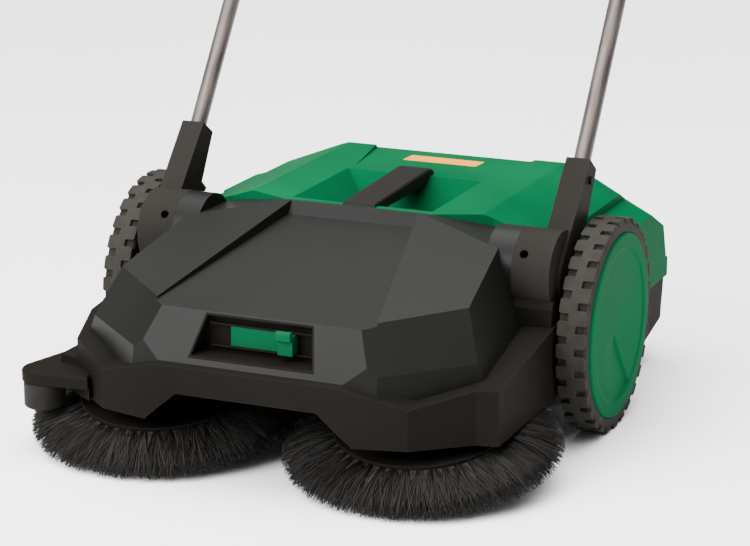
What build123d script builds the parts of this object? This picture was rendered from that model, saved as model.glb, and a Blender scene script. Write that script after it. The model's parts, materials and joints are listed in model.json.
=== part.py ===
from build123d import *
import os
from math import cos, pi, radians, sin

# Walk-behind carpet sweeper: two tilted disc brushes in front, a transverse roller brush, a lift-out
# dirt bin and a folding push handle.
# Frame: X to the machine's left-right, Y backwards (the front faces -Y), Z up, floor at Z = 0.
# The origin is on the floor, under the wheel axle's middle. All sizes are in millimetres.

os.makedirs("parts", exist_ok=True)

# ---- driving dimensions -------------------------------------------------------------------------
wheel_radius = 157.5
tyre_inner_x = 340.0
tyre_outer_x = 383.0
tyre_seat_radius = 128.0
cap_radius = 136.0
cap_outer_x = 386.0
axle_radius = 8.0
running_gap = 0.05
moving_gap = 0.3

brush_radius = 198.0
brush_x = 198.5
brush_y = -300.31
brush_tilt = 10.0
brush_z = brush_radius * sin(radians(brush_tilt))
disc_height = 38.0
disc_thickness = 6.0
crown_pitch_radius = 40.0
crown_teeth = 24
crown_top = 56.0
pinion_pitch_radius = 20.0
pinion_teeth = 12
spindle_radius = 10.0

layshaft_radius = 6.0
layshaft_rise = crown_top + pinion_pitch_radius
layshaft_y = brush_y - layshaft_rise * sin(radians(brush_tilt))
layshaft_z = brush_z + layshaft_rise * cos(radians(brush_tilt))
front_belt_x = 300.0
wheel_pulley_radius = 40.0
layshaft_pulley_radius = 16.0
belt_width = 10.0
belt_thickness = 2.5

roller_y = 8.0
roller_z = 46.0
roller_radius = 44.0
roller_half_length = 222.0
roller_belt_x = 257.0
roller_drive_radius = 33.0
roller_pulley_radius = 11.0

pivot_y = -90.0
pivot_z = 254.0
drum_radius = 60.0
drum_inner_x = 268.5
drum_outer_x = 325.0
ear_inner_x = 228.0
ear_outer_x = 268.0
stub_radius = 20.0

tube_x = 311.0
tube_radius = 12.5
tube_wall = 2.0
socket_top_y = 27.0
socket_top_z = 387.0
tube_lean = 55.2
grip_radius = 16.0
crossbar_y = 480.0
crossbar_z = 940.0
crossbar_half = 225.0

wall = 3.0
chassis_front_y = -457.6
chassis_side_x = 335.0
chassis_rear_y = 40.0
chassis_top_z = 206.0
rim_rise = 0.13
corner_shelf_z = 130.0

bin_floor_z = 44.0
bin_seam_z = 130.0
bin_top_z = 313.0
bin_front_y = -76.0
bin_mouth_y = 60.0
bin_rear_y = 389.0

guide_x = -345.0
guide_y = -400.0
guide_radius = 30.0
arm_low_z = 101.0
arm_top_z = 118.0

lever_y = -190.0
lever_z = 110.0
support_y = -140.0
support_radius = 25.0

sides = {"left": -1, "right": 1}


def save(part, label):
    part.label = label
    export_step(part, "parts/" + label + ".step")


def along_x(x):
    # YZ plane at the given X, whose local x is +Y and local y is +Z
    return Plane(origin=(x, 0, 0), x_dir=(0, 1, 0), z_dir=(1, 0, 0))


def disc_plane(side, height):
    # plane of the tilted disc brush, at a height along its own axis
    tilt = radians(brush_tilt)
    origin = (side * brush_x, brush_y - height * sin(tilt), brush_z + height * cos(tilt))
    return Plane(origin=origin, x_dir=(1, 0, 0), z_dir=(0, -sin(tilt), cos(tilt)))


def shaft(x_from, x_to, y, z, radius, bore=0.0):
    # round bar along X, hollow if a bore is given
    with BuildPart() as bar:
        with BuildSketch(along_x(min(x_from, x_to))):
            with Locations((y, z)):
                Circle(radius)
                if bore:
                    Circle(bore, mode=Mode.SUBTRACT)
        extrude(amount=abs(x_to - x_from))
    return bar.part


def facet(side, a, b, c):
    # plane through three corners of the right half (side 1), or through their mirror images (side -1)
    a, b, c = (Vector(side * p[0], p[1], p[2]) for p in (a, b, c))
    normal = (b - a).cross(c - a)
    if normal.Z < 0:
        normal = -normal
    return Plane(origin=a, z_dir=normal)


# ---- outer shapes shared by several pieces ------------------------------------------------------
# corners of the faceted hood, right half
hood_crest = (107.0, -84.0, 315.6)
hood_shoulder_in = (182.3, -418.0, 233.0)
hood_shoulder_out = (270.7, -346.8, 242.4)
hood_ear_front = (245.0, -133.0, 292.0)
hood_rear_side = (198.0, -42.0, 298.0)
hood_cheek_low = (293.0, -342.0, 185.7)
hood_cheek_in = (199.5, -417.0, 178.5)
hood_chin = (223.5, -425.0, 148.0)
hood_nose = (153.7, -437.0, 178.0)
panel_top = (101.0, -95.0, 297.0)
panel_bottom = (169.5, -406.6, 234.0)
hood_rear_y = -80.0
hood_base_z = 130.0


def hood_block(inset):
    # the faceted hood as a solid, every face moved inwards by the inset
    plan = [(0, -450), (320, -450), (320, -150), (266, -150), (266, -42), (200, -42), (107, hood_rear_y), (0, hood_rear_y)]
    with BuildPart() as block:
        with BuildSketch(Plane.XY.offset(hood_base_z)):
            with BuildLine():
                Polyline(plan, close=True)
            make_face()
            mirror(about=Plane.YZ)
            if inset:
                offset(amount=-inset, kind=Kind.INTERSECTION)
        extrude(amount=hood_crest[2] - hood_base_z - inset)
        for side in (-1, 1):
            for corners in (
                (hood_crest, hood_shoulder_in, hood_shoulder_out),
                (hood_crest, hood_ear_front, hood_rear_side),
                (hood_shoulder_out, hood_cheek_low, hood_ear_front),
                (hood_shoulder_in, hood_shoulder_out, hood_cheek_low),
                (hood_cheek_low, hood_cheek_in, hood_chin),
                (hood_shoulder_in, hood_nose, hood_chin),
                (panel_bottom, (0, panel_bottom[1], panel_bottom[2]), hood_nose),
            ):
                split(bisect_by=facet(side, *corners).offset(-inset), keep=Keep.BOTTOM)
        # the centre panel is sunk below the hood, deepest at its top edge
        slope = facet(1, panel_top, panel_bottom, (0, panel_bottom[1], panel_bottom[2]))
        band = Vector(0, hood_crest[1] - panel_top[1], hood_crest[2] - panel_top[2])
        reach = (-470.0 - panel_top[1]) / (panel_bottom[1] - panel_top[1])
        front_x = panel_top[0] + reach * (panel_bottom[0] - panel_top[0])
        front_z = panel_top[2] + reach * (panel_bottom[2] - panel_top[2])
        outline = [slope.offset(-inset).to_local_coords(Vector(x, y, z)) for x, y, z in (
            (-panel_top[0] - inset, panel_top[1] + inset, panel_top[2]),
            (panel_top[0] + inset, panel_top[1] + inset, panel_top[2]),
            (front_x + inset, -470.0, front_z),
            (-front_x - inset, -470.0, front_z),
        )]
        with BuildSketch(slope.offset(-inset)):
            with BuildLine():
                Polyline([(p.X, p.Y) for p in outline], close=True)
            make_face()
        extrude(amount=80, dir=band.normalized(), mode=Mode.SUBTRACT)
    return block.part


def chassis_block(inset):
    # the chassis as a solid: plan outline under a rim that dips towards the brush corners
    plan = [(0, -457.6), (139.5, -457.6), (230, -436.4), (304, -374.7), (chassis_side_x, -369), (chassis_side_x, chassis_rear_y), (0, chassis_rear_y)]
    with BuildPart() as block:
        with BuildSketch(Plane.XY.offset(30)):
            with BuildLine():
                Polyline(plan, close=True)
            make_face()
            mirror(about=Plane.YZ)
            if inset:
                offset(amount=-inset, kind=Kind.INTERSECTION)
        extrude(amount=chassis_top_z - inset - 30)
        drop = inset + rim_rise * (500 + chassis_front_y)
        rim = [(0, 164.7), (139.5, 164.7), (230, 136.4), (304, 147.8), (400, 149)]
        with BuildSketch(Plane.XZ.offset(500)):
            with BuildLine():
                Polyline([(x, z - drop) for x, z in rim] + [(400, 300), (0, 300)], close=True)
            make_face()
            mirror(about=Plane.YZ)
        extrude(amount=620, dir=(0, 1, rim_rise), mode=Mode.SUBTRACT)
        # the left corner is cut back above the guide roller's arm
        with BuildSketch(Plane.XY.offset(corner_shelf_z - inset)):
            with BuildLine():
                Polyline([(-304, -440), (-304, -376), (-335, -277), (-420, -277), (-420, -440)], close=True)
            make_face()
            if inset:
                offset(amount=inset, kind=Kind.INTERSECTION)
        extrude(amount=200, mode=Mode.SUBTRACT)
    return block.part


# corners of the bin's green cover, right half
bin_plan = [
    (0, bin_front_y), (106, bin_front_y), (199, -36), (224, -36), (224, -22), (288, -22), (288, 54),
    (330, 62), (330, 165), (340, 172), (340, bin_rear_y), (0, bin_rear_y),
]
bin_front_view = [
    (0, bin_top_z), (185, bin_top_z), (285, 276), (285, 263), (340, 250), (340, bin_seam_z), (0, bin_seam_z),
]
bin_side_view = [
    (bin_front_y, bin_top_z), (322, bin_top_z), (334, 306), (361, 218), (380, 163), (bin_rear_y, 160),
    (bin_rear_y, bin_seam_z), (bin_mouth_y, bin_seam_z), (bin_mouth_y, 212), (bin_front_y, 212),
]
well_front_y = -56.0
well_rear_y = 151.0
well_half = 112.0
well_depth = 58.0
grip_bar_half = 26.0
# corners of the facet that cuts each rear corner, right half
bin_corner_facet = ((205, 325, 309), (285, 304, 275), (345, 363, 214))
fall_start_y = 170.0
fall_angle = 2.1


def bin_block(inset):
    # the cover as a solid: where its front, side and plan outlines meet, less the hand well
    with BuildPart() as block:
        with BuildSketch(Plane.XZ.offset(100)):
            with BuildLine():
                Polyline(bin_front_view, close=True)
            make_face()
            mirror(about=Plane.YZ)
            if inset:
                offset(amount=-inset, kind=Kind.INTERSECTION)
        extrude(amount=-600)
        with BuildSketch(along_x(-400)):
            with BuildLine():
                Polyline(bin_side_view, close=True)
            make_face()
            if inset:
                offset(amount=-inset, kind=Kind.INTERSECTION)
        extrude(amount=800, mode=Mode.INTERSECT)
        with BuildSketch(Plane.XY.offset(100)):
            with BuildLine():
                Polyline(bin_plan, close=True)
            make_face()
            mirror(about=Plane.YZ)
            if inset:
                offset(amount=-inset, kind=Kind.INTERSECTION)
        extrude(amount=300, mode=Mode.INTERSECT)
        for side in (-1, 1):
            split(bisect_by=facet(side, *bin_corner_facet).offset(-inset), keep=Keep.BOTTOM)
        # behind the well the top falls a little between two low steps
        fall = radians(fall_angle)
        fall_origin = (0, fall_start_y, bin_top_z - inset)
        with BuildSketch(Plane(origin=fall_origin, x_dir=(1, 0, 0), z_dir=(0, sin(fall), cos(fall)))):
            with BuildLine():
                Polyline([(-108, -5), (108, -5), (146, 200), (-146, 200)], close=True)
            make_face()
            if inset:
                offset(amount=inset, kind=Kind.INTERSECTION)
        extrude(amount=30, mode=Mode.SUBTRACT)
        well_y = (well_front_y + well_rear_y) / 2
        with BuildSketch(Plane.XY.offset(bin_top_z)):
            with Locations((0, well_y)):
                Rectangle(2 * (well_half + inset), well_rear_y - well_front_y + 2 * inset)
        with BuildSketch(Plane.XY.offset(bin_top_z - well_depth - inset)):
            with Locations((0, well_y - 12)):
                Rectangle(well_half + 2 * inset, well_rear_y - well_front_y - 60 + 2 * inset)
        loft(mode=Mode.SUBTRACT)
    return block.part


def tub_block(inset, above):
    # the black tub as a solid, its floor cut away upwards at the rear; above is how far it passes the seam
    plan = [(0, 64), (326, 64), (326, 165), (336, 172), (336, 385), (0, 385)]
    with BuildPart() as block:
        with BuildSketch(Plane.XY.offset(bin_floor_z + inset)):
            with BuildLine():
                Polyline(plan, close=True)
            make_face()
            mirror(about=Plane.YZ)
            if inset:
                offset(amount=-inset, kind=Kind.INTERSECTION)
        extrude(amount=bin_seam_z - bin_floor_z - inset + above)
        with BuildSketch(along_x(-400)):
            with BuildLine():
                Polyline([(291, 44), (374, 62), (386, 131), (500, 131), (500, -100), (291, -100)], close=True)
            make_face()
            if inset:
                offset(amount=inset, kind=Kind.INTERSECTION)
        extrude(amount=800, mode=Mode.SUBTRACT)
    return block.part


hood_outer = hood_block(0)
chassis_outer = chassis_block(0)

# hood screws, which pass up through the deck
screw_x = 215.0
screw_y = -120.0
screw_z = 179.0


def screw_shanks():
    with BuildPart() as shanks:
        with BuildSketch(Plane.XY.offset(screw_z)):
            with Locations((-screw_x, screw_y), (screw_x, screw_y)):
                Circle(2.5)
        extrude(amount=30)
    return shanks.part


# ---- chassis ------------------------------------------------------------------------------------
skirt_low_z = 82.0
bracket_low_z = 100.0
plate_x = 240.0
with BuildPart() as chassis_frame:
    for side in (-1, 1):
        # cradle below the handle drum, in line with the side wall
        with BuildSketch(along_x(side * 331)):
            with BuildLine():
                Polyline([(-152, 160), (-152, 214), (-140, 228), (-28, 228), (-28, 160)], close=True)
            make_face()
        extrude(amount=-side * 60)
    add(hood_outer, mode=Mode.SUBTRACT)
    add(chassis_outer)
    add(chassis_block(wall), mode=Mode.SUBTRACT)
    # open underside: nothing of the skirt below its lower edge
    with BuildSketch(Plane.XY.offset(20)):
        Rectangle(900, 1200)
    extrude(amount=skirt_low_z - 20, mode=Mode.SUBTRACT)
    # open rear side, towards the bin
    with BuildSketch(Plane.XZ.offset(-chassis_rear_y + 2 * wall)):
        with Locations((0, 115)):
            Rectangle(2 * (chassis_side_x - wall), 2 * (chassis_top_z - wall - 115))
    extrude(amount=-4 * wall, mode=Mode.SUBTRACT)
    # arch between the two disc brushes
    with BuildSketch(Plane.XZ.offset(500)):
        with BuildLine():
            Polyline([(-155, 60), (-155, 84), (-106, 126), (106, 126), (155, 84), (155, 60)], close=True)
        make_face()
    extrude(amount=-100, mode=Mode.SUBTRACT)
    # opening in the deck for the height slider's link
    with BuildSketch(Plane.XY.offset(120)):
        with Locations((0, -290)):
            RectangleRounded(110, 60, 10)
    extrude(amount=120, mode=Mode.SUBTRACT)
    for side in (-1, 1):
        # spindle and layshaft bracket
        with BuildSketch(Plane.XY.offset(bracket_low_z)):
            with Locations((side * 201, -312)):
                RectangleRounded(50, 66, 6)
        extrude(amount=68)
        # plates that carry the wheel axle's inner end and the roller brush
        with BuildSketch(along_x(side * plate_x)):
            with BuildLine():
                Polyline([(-60, 188), (-60, 70), (-20, 24), (36, 24), (36, 200.5)], close=True)
            make_face()
        extrude(amount=side * 6)
        # bosses in the side wall: wheel axle and layshaft
        with BuildSketch(along_x(side * 320)):
            with Locations((0, wheel_radius)):
                Circle(24)
            with Locations((layshaft_y, layshaft_z)):
                Circle(14)
        extrude(amount=side * 13)
        # rails that the bin stands on
        with BuildSketch(Plane.XY.offset(bin_floor_z - 8)):
            with Locations((side * 255, 168)):
                Rectangle(30, 284)
        extrude(amount=8)
    for side in (-1, 1):
        # clearance for the handle drums
        add(shaft(side * (ear_outer_x + 0.2), side * 331, pivot_y, pivot_z, drum_radius + 1.2), mode=Mode.SUBTRACT)
        add(shaft(side * ear_inner_x, side * (ear_outer_x + 0.3), pivot_y, pivot_z, drum_radius), mode=Mode.SUBTRACT)
        # bores
        add(shaft(side * 315, side * 340, 0, wheel_radius, 14), mode=Mode.SUBTRACT)
        add(shaft(side * 230, side * 250, 0, wheel_radius, 12), mode=Mode.SUBTRACT)
        add(shaft(side * 315, side * 332, layshaft_y, layshaft_z, 9), mode=Mode.SUBTRACT)
        add(shaft(side * 170, side * 230, layshaft_y, layshaft_z, layshaft_radius + running_gap), mode=Mode.SUBTRACT)
        add(shaft(side * 230, side * 250, roller_y, roller_z, 10), mode=Mode.SUBTRACT)
        with BuildSketch(disc_plane(side, 40)):
            Circle(spindle_radius)
        extrude(amount=75, mode=Mode.SUBTRACT)
    add(screw_shanks(), mode=Mode.SUBTRACT)
save(chassis_frame.part, "chassis_frame")

# ---- hood ---------------------------------------------------------------------------------------
bezel_back_y = -392.0
bezel_low_z = 174.0
bezel_high_z = 232.0
# the recess is wider at its foot
bezel_outline = [(-95, bezel_low_z), (95, bezel_low_z), (81, bezel_high_z), (-81, bezel_high_z)]
rail_half = 77.0
slider_low_z = 187.2
slider_high_z = 215.2
tab_x = 42.0
with BuildPart() as front_hood:
    add(hood_outer)
    add(hood_block(wall), mode=Mode.SUBTRACT)
    # window for the height slider
    with BuildSketch(Plane.XZ.offset(500)):
        with BuildLine():
            Polyline(bezel_outline, close=True)
        make_face()
    extrude(amount=-500 - bezel_back_y, mode=Mode.SUBTRACT)
    for side in (-1, 1):
        # round ears that carry the handle
        add(shaft(side * ear_inner_x, side * ear_outer_x, pivot_y, pivot_z, drum_radius))
        add(shaft(side * ear_inner_x, side * ear_outer_x, pivot_y, pivot_z, stub_radius), mode=Mode.SUBTRACT)
        # bosses for the hood screws
        with BuildSketch(Plane.XY.offset(screw_z)):
            with Locations((side * screw_x, screw_y)):
                Circle(9)
        extrude(amount=295.5 - screw_z)
    add(chassis_outer, mode=Mode.SUBTRACT)
    add(screw_shanks(), mode=Mode.SUBTRACT)
save(front_hood.part, "front_hood")

with BuildPart() as slider_bezel:
    with BuildSketch(Plane.XZ.offset(-bezel_back_y)):
        with BuildLine():
            Polyline(bezel_outline, close=True)
        make_face()
    extrude(amount=90)
    with BuildSketch(Plane.XZ.offset(-bezel_back_y + 4)):
        with BuildLine():
            Polyline(bezel_outline, close=True)
        make_face()
        offset(amount=-wall, kind=Kind.INTERSECTION)
    extrude(amount=90, mode=Mode.SUBTRACT)
    # two rails that guide the slider
    with BuildSketch(Plane.XZ.offset(-bezel_back_y + 4)):
        with Locations((0, slider_low_z - 1.8), (0, slider_high_z + 1.8)):
            Rectangle(2 * rail_half, 3)
    extrude(amount=9)
    add(hood_outer, mode=Mode.INTERSECT)
save(slider_bezel.part, "slider_bezel")

with BuildPart() as height_slider:
    with BuildSketch(Plane.XZ.offset(-bezel_back_y + 4.3)):
        with Locations((3, (slider_low_z + slider_high_z) / 2)):
            Rectangle(98, slider_high_z - slider_low_z)
    extrude(amount=7)
    with BuildSketch(Plane.XZ.offset(-bezel_back_y + 11.3)):
        with Locations((tab_x, (slider_low_z + slider_high_z) / 2)):
            Rectangle(22, slider_high_z - slider_low_z)
    extrude(amount=14)
    with BuildSketch(Plane.XZ.offset(-bezel_back_y + 25.3)):
        with Locations((tab_x, slider_high_z)):
            Rectangle(22, 14)
    extrude(amount=8)
    chamfer(height_slider.edges().filter_by(Axis.X).group_by(Axis.Y)[0], 2)
save(height_slider.part, "height_slider")

with BuildPart() as hood_screws:
    add(screw_shanks())
    with BuildSketch(Plane.XY.offset(screw_z - 4)):
        with Locations((-screw_x, screw_y), (screw_x, screw_y)):
            Circle(6)
    extrude(amount=4)
save(hood_screws.part, "hood_screws")

# ---- corner arm and its guide roller ------------------------------------------------------------
with BuildPart() as corner_arm:
    with BuildSketch(Plane.XY.offset(arm_low_z)):
        with Locations((guide_x, guide_y)):
            Circle(guide_radius + 2)
        with BuildLine():
            Polyline([(-300, -290), (-338, -280), (-352, -300), (-376, -392), (-344, -431.8), (-262, -424)], close=True)
        make_face()
    extrude(amount=arm_top_z - arm_low_z)
    fillet(corner_arm.edges().group_by(Axis.Z)[-1], 4)
    with BuildSketch(Plane.XY.offset(84)):
        with BuildLine():
            Polyline([(-300, -330), (-336, -330), (-340, -362), (-290, -402), (-262, -420)], close=True)
        make_face()
    extrude(amount=18)
    with BuildSketch(Plane.XY.offset(60)):
        with Locations((guide_x, guide_y)):
            Circle(5)
    extrude(amount=50, mode=Mode.SUBTRACT)
    add(chassis_outer, mode=Mode.SUBTRACT)
save(corner_arm.part, "corner_arm")

with BuildPart() as guide_roller_pin:
    with BuildSketch(Plane.XY.offset(58)):
        with Locations((guide_x, guide_y)):
            Circle(5)
    extrude(amount=52)
    with BuildSketch(Plane.XY.offset(55)):
        with Locations((guide_x, guide_y)):
            Circle(9)
    extrude(amount=5)
save(guide_roller_pin.part, "guide_roller_pin")

with BuildPart() as guide_roller:
    with BuildSketch(Plane.XY.offset(60.5)):
        with Locations((guide_x, guide_y)):
            Circle(guide_radius)
            Circle(5 + running_gap, mode=Mode.SUBTRACT)
    extrude(amount=40)
    fillet(guide_roller.edges().filter_by(GeomType.CIRCLE).sort_by(Edge.length)[-2:], 5)
save(guide_roller.part, "guide_roller")

# ---- roller tunnel, seals and fixed shafts ------------------------------------------------------
with BuildPart() as roller_tunnel:
    with BuildSketch(along_x(-plate_x)):
        with Locations((roller_y, roller_z)):
            Circle(roller_radius + 8)
            Circle(roller_radius + 5, mode=Mode.SUBTRACT)
            with Locations((0, -60)):
                Rectangle(140, 84, mode=Mode.SUBTRACT)
            with Locations((70, 0)):
                Rectangle(90, 60, mode=Mode.SUBTRACT)
    extrude(amount=2 * plate_x)
    for side in (-1, 1):
        add(shaft(side * 228, side * plate_x, 0, wheel_radius, 14), mode=Mode.SUBTRACT)
save(roller_tunnel.part, "roller_tunnel")

with BuildPart() as rear_seal:
    with BuildSketch(Plane.XY.offset(5)):
        with Locations((0, -48)):
            Rectangle(2 * plate_x - 4, 4)
    extrude(amount=34)
    with BuildSketch(Plane.XY.offset(29)):
        with Locations((0, -43.5)):
            Rectangle(2 * plate_x - 4, 5)
    extrude(amount=10)
    add(roller_tunnel.part, mode=Mode.SUBTRACT)
    add(chassis_frame.part, mode=Mode.SUBTRACT)
save(rear_seal.part, "sweeping_seal")

with BuildPart() as brush_spindles:
    for side in (-1, 1):
        with BuildSketch(disc_plane(side, 16)):
            Circle(spindle_radius)
        extrude(amount=94)
        # cross bore that the layshaft runs through
        add(shaft(side * 180, side * 220, layshaft_y, layshaft_z, layshaft_radius + running_gap), mode=Mode.SUBTRACT)
save(brush_spindles.part, "brush_spindles")

with BuildPart() as spindle_nuts:
    for side in (-1, 1):
        with BuildSketch(disc_plane(side, 18)):
            RegularPolygon(16, 6)
            Circle(spindle_radius, mode=Mode.SUBTRACT)
        extrude(amount=9)
save(spindle_nuts.part, "spindle_nuts")

with BuildPart() as pivot_stubs:
    for side in (-1, 1):
        add(shaft(side * 232, side * 320, pivot_y, pivot_z, stub_radius, 12))
save(pivot_stubs.part, "pivot_stubs")

with BuildPart() as axle_bearings:
    for side in (-1, 1):
        add(shaft(side * 320, side * 336, 0, wheel_radius, 14, axle_radius + running_gap))
        add(shaft(side * 336, side * 338, 0, wheel_radius, 18, axle_radius + running_gap))
        add(shaft(side * 238, side * 248, 0, wheel_radius, 12, axle_radius + running_gap))
save(axle_bearings.part, "axle_bearings")

with BuildPart() as layshaft_bearings:
    for side in (-1, 1):
        add(shaft(side * 319, side * 331, layshaft_y, layshaft_z, 9, layshaft_radius + running_gap))
save(layshaft_bearings.part, "layshaft_bearings")

with BuildPart() as roller_bearings:
    for side in (-1, 1):
        add(shaft(side * 238, side * 248, roller_y, roller_z, 10, layshaft_radius + running_gap))
save(roller_bearings.part, "roller_bearings")


def belt(x, big, big_y, big_z, small, small_y, small_z):
    # closed belt around two pulleys, drawn as the hull of two circles less the hull inside it
    with BuildPart() as loop:
        with BuildSketch(along_x(x - belt_width / 2)):
            for grow, mode in ((moving_gap + belt_thickness, Mode.ADD), (moving_gap, Mode.SUBTRACT)):
                with BuildSketch(along_x(x - belt_width / 2), mode=mode):
                    with Locations((big_y, big_z)):
                        Circle(big + grow)
                    with Locations((small_y, small_z)):
                        Circle(small + grow)
                    make_hull()
        extrude(amount=belt_width)
    return loop.part


for name, side in sides.items():
    front_belt = belt(
        side * front_belt_x, wheel_pulley_radius, 0, wheel_radius, layshaft_pulley_radius, layshaft_y, layshaft_z
    )
    save(front_belt, "front_belt_" + name)
save(belt(roller_belt_x, roller_drive_radius, 0, wheel_radius, roller_pulley_radius, roller_y, roller_z), "roller_belt")

# ---- wheels, axles and their pulleys ------------------------------------------------------------
for name, side in sides.items():
    with BuildPart() as tyre:
        with BuildSketch(Plane.XZ):
            with BuildLine():
                Polyline([
                    (tyre_inner_x, tyre_seat_radius), (379, tyre_seat_radius), (379, cap_radius + 0.5),
                    (tyre_outer_x, cap_radius + 0.5), (tyre_outer_x, wheel_radius - 5), (tyre_outer_x - 4, wheel_radius),
                    (tyre_inner_x + 4, wheel_radius), (tyre_inner_x, wheel_radius - 5),
                ], close=True)
            make_face()
            if side < 0:
                mirror(about=Plane.YZ, mode=Mode.REPLACE)
        revolve(axis=Axis.X)
    save(tyre.part.moved(Location((0, 0, wheel_radius))), "tyre_" + name)

    with BuildPart() as rim:
        with BuildSketch(Plane.XZ):
            with BuildLine():
                Polyline([
                    (341, axle_radius), (376, axle_radius), (376, 24), (366, 30), (366, 118), (378.5, 122),
                    (378.5, tyre_seat_radius), (344, tyre_seat_radius), (344, 122), (360, 118), (360, 30), (341, 24),
                ], close=True)
            make_face()
            if side < 0:
                mirror(about=Plane.YZ, mode=Mode.REPLACE)
        revolve(axis=Axis.X)
        with BuildSketch(along_x(side * 350)):
            with PolarLocations(75, 8):
                SlotOverall(70, 8, rotation=0)
        extrude(amount=side * 10.5)
    save(rim.part.moved(Location((0, 0, wheel_radius))), "rim_" + name)

    with BuildPart() as cap:
        with BuildSketch(along_x(side * 379.3)):
            Circle(cap_radius)
        extrude(amount=side * (cap_outer_x - 379.3))
        chamfer(cap.faces().sort_by(Axis.X)[-1 if side > 0 else 0].edges(), 3)
        with BuildSketch(along_x(side * cap_outer_x)):
            Circle(114)
            Circle(108, mode=Mode.SUBTRACT)
        extrude(amount=-side * 2, mode=Mode.SUBTRACT)
        # wedge-shaped recess pointing at the centre
        with BuildSketch(along_x(side * cap_outer_x)):
            with BuildLine():
                Polyline([(0, -8), (-34, -98), (34, -98)], close=True)
            make_face()
            offset(amount=-2)
        extrude(amount=-side * 2, mode=Mode.SUBTRACT)
    save(cap.part.moved(Location((0, 0, wheel_radius))), "wheel_cap_" + name)

    save(shaft(side * 236, side * 378, 0, wheel_radius, axle_radius), "wheel_axle_" + name)

    with BuildPart() as pulley:
        add(shaft(side * 292, side * 308, 0, wheel_radius, wheel_pulley_radius, axle_radius))
        if side > 0:
            add(shaft(264, 292, 0, wheel_radius, 16, axle_radius))
            add(shaft(250, 264, 0, wheel_radius, roller_drive_radius, axle_radius))
    save(pulley.part, "wheel_pulley_" + name)

# ---- layshafts with pulley and pinion -----------------------------------------------------------
pinion_x = brush_x - crown_pitch_radius
tooth_length = 8.0
for name, side in sides.items():
    save(shaft(side * 150, side * 330, layshaft_y, layshaft_z, layshaft_radius), "layshaft_" + name)
    save(
        shaft(side * 293, side * 307, layshaft_y, layshaft_z, layshaft_pulley_radius, layshaft_radius),
        "layshaft_pulley_" + name,
    )
    # the pinion has a tooth pointing straight at the crown gear
    with BuildPart() as pinion:
        with BuildSketch(along_x(side * (pinion_x - 4))):
            Circle(pinion_pitch_radius - 3)
            with PolarLocations(pinion_pitch_radius - 2, pinion_teeth, start_angle=-90 + brush_tilt):
                Rectangle(6, 2.6)
            Circle(layshaft_radius, mode=Mode.SUBTRACT)
        extrude(amount=side * tooth_length)
    save(pinion.part.moved(Location((0, layshaft_y, layshaft_z))), "pinion_" + name)

# ---- disc brushes -------------------------------------------------------------------------------
for name, side in sides.items():
    with BuildPart() as brush_disc:
        with BuildSketch(disc_plane(side, disc_height)):
            Circle(122)
        extrude(amount=disc_thickness)
        with BuildSketch(disc_plane(side, 28)):
            Circle(20)
        extrude(amount=crown_top + 3 - 28)
        with BuildSketch(disc_plane(side, 28)):
            Circle(spindle_radius + running_gap)
        extrude(amount=40, mode=Mode.SUBTRACT)
    save(brush_disc.part, "brush_disc_" + name)

    with BuildPart() as crown_gear:
        with BuildSketch(disc_plane(side, disc_height + disc_thickness)):
            Circle(46)
            Circle(20, mode=Mode.SUBTRACT)
        extrude(amount=crown_top - disc_height - disc_thickness - 3)
        # teeth stand up from the ring, and a gap faces the pinion
        with BuildSketch(disc_plane(side, crown_top - 3)):
            with PolarLocations(crown_pitch_radius, crown_teeth, start_angle=180 / crown_teeth):
                Rectangle(10, 3.6)
        extrude(amount=3)
    save(crown_gear.part, "crown_gear_" + name)

    with BuildPart() as disc_bristles:
        with BuildSketch(Plane.XZ):
            with BuildLine():
                Polyline([(96, disc_height), (120, disc_height), (brush_radius, 14), (brush_radius, 0), (150, 0)], close=True)
            make_face()
        revolve(axis=Axis.Z)
    save(disc_bristles.part.moved(disc_plane(side, 0).location), "disc_bristles_" + name)

# ---- roller brush -------------------------------------------------------------------------------
with BuildPart() as roller_core:
    add(shaft(-roller_half_length - 4, roller_half_length + 4, roller_y, roller_z, 16))
    add(shaft(-250, 265, roller_y, roller_z, layshaft_radius))
save(roller_core.part, "roller_core")
roller_bristles = shaft(-roller_half_length, roller_half_length, roller_y, roller_z, roller_radius, 16)
save(roller_bristles, "roller_bristles")
save(shaft(250, 264, roller_y, roller_z, roller_pulley_radius, layshaft_radius), "roller_pulley")

# ---- support roller on its lever ----------------------------------------------------------------
with BuildPart() as lever_bracket:
    for side in (-1, 1):
        with BuildSketch(Plane.YZ.offset(side * 22 - 2)):
            with Locations((lever_y, lever_z)):
                Circle(14)
            with Locations((lever_y, lever_z + 50)):
                Rectangle(26, 100)
        extrude(amount=4)
    with BuildSketch(Plane.XY.offset(lever_z + 70)):
        with Locations((0, lever_y)):
            Rectangle(80, 26)
    extrude(amount=30)
    add(chassis_block(wall), mode=Mode.INTERSECT)
    add(shaft(-24, 24, lever_y, lever_z, 5))
save(lever_bracket.part, "lever_bracket")

with BuildPart() as support_lever:
    for side in (-1, 1):
        with BuildSketch(Plane.YZ.offset(side * 16 - 2)):
            with Locations((lever_y, lever_z)):
                Circle(11)
            with Locations((support_y, support_radius)):
                Circle(9)
            make_hull()
            with Locations((lever_y, lever_z)):
                Circle(5 + running_gap, mode=Mode.SUBTRACT)
        extrude(amount=4)
    with BuildSketch(Plane.YZ.offset(-16)):
        with Locations(((lever_y + support_y) / 2 - 4, (lever_z + support_radius) / 2 + 6)):
            Circle(5)
    extrude(amount=32)
    add(shaft(-19, 19, support_y, support_radius, 4))
save(support_lever.part, "support_lever")
save(shaft(-12, 12, support_y, support_radius, support_radius, 4 + running_gap), "support_roller")

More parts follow.
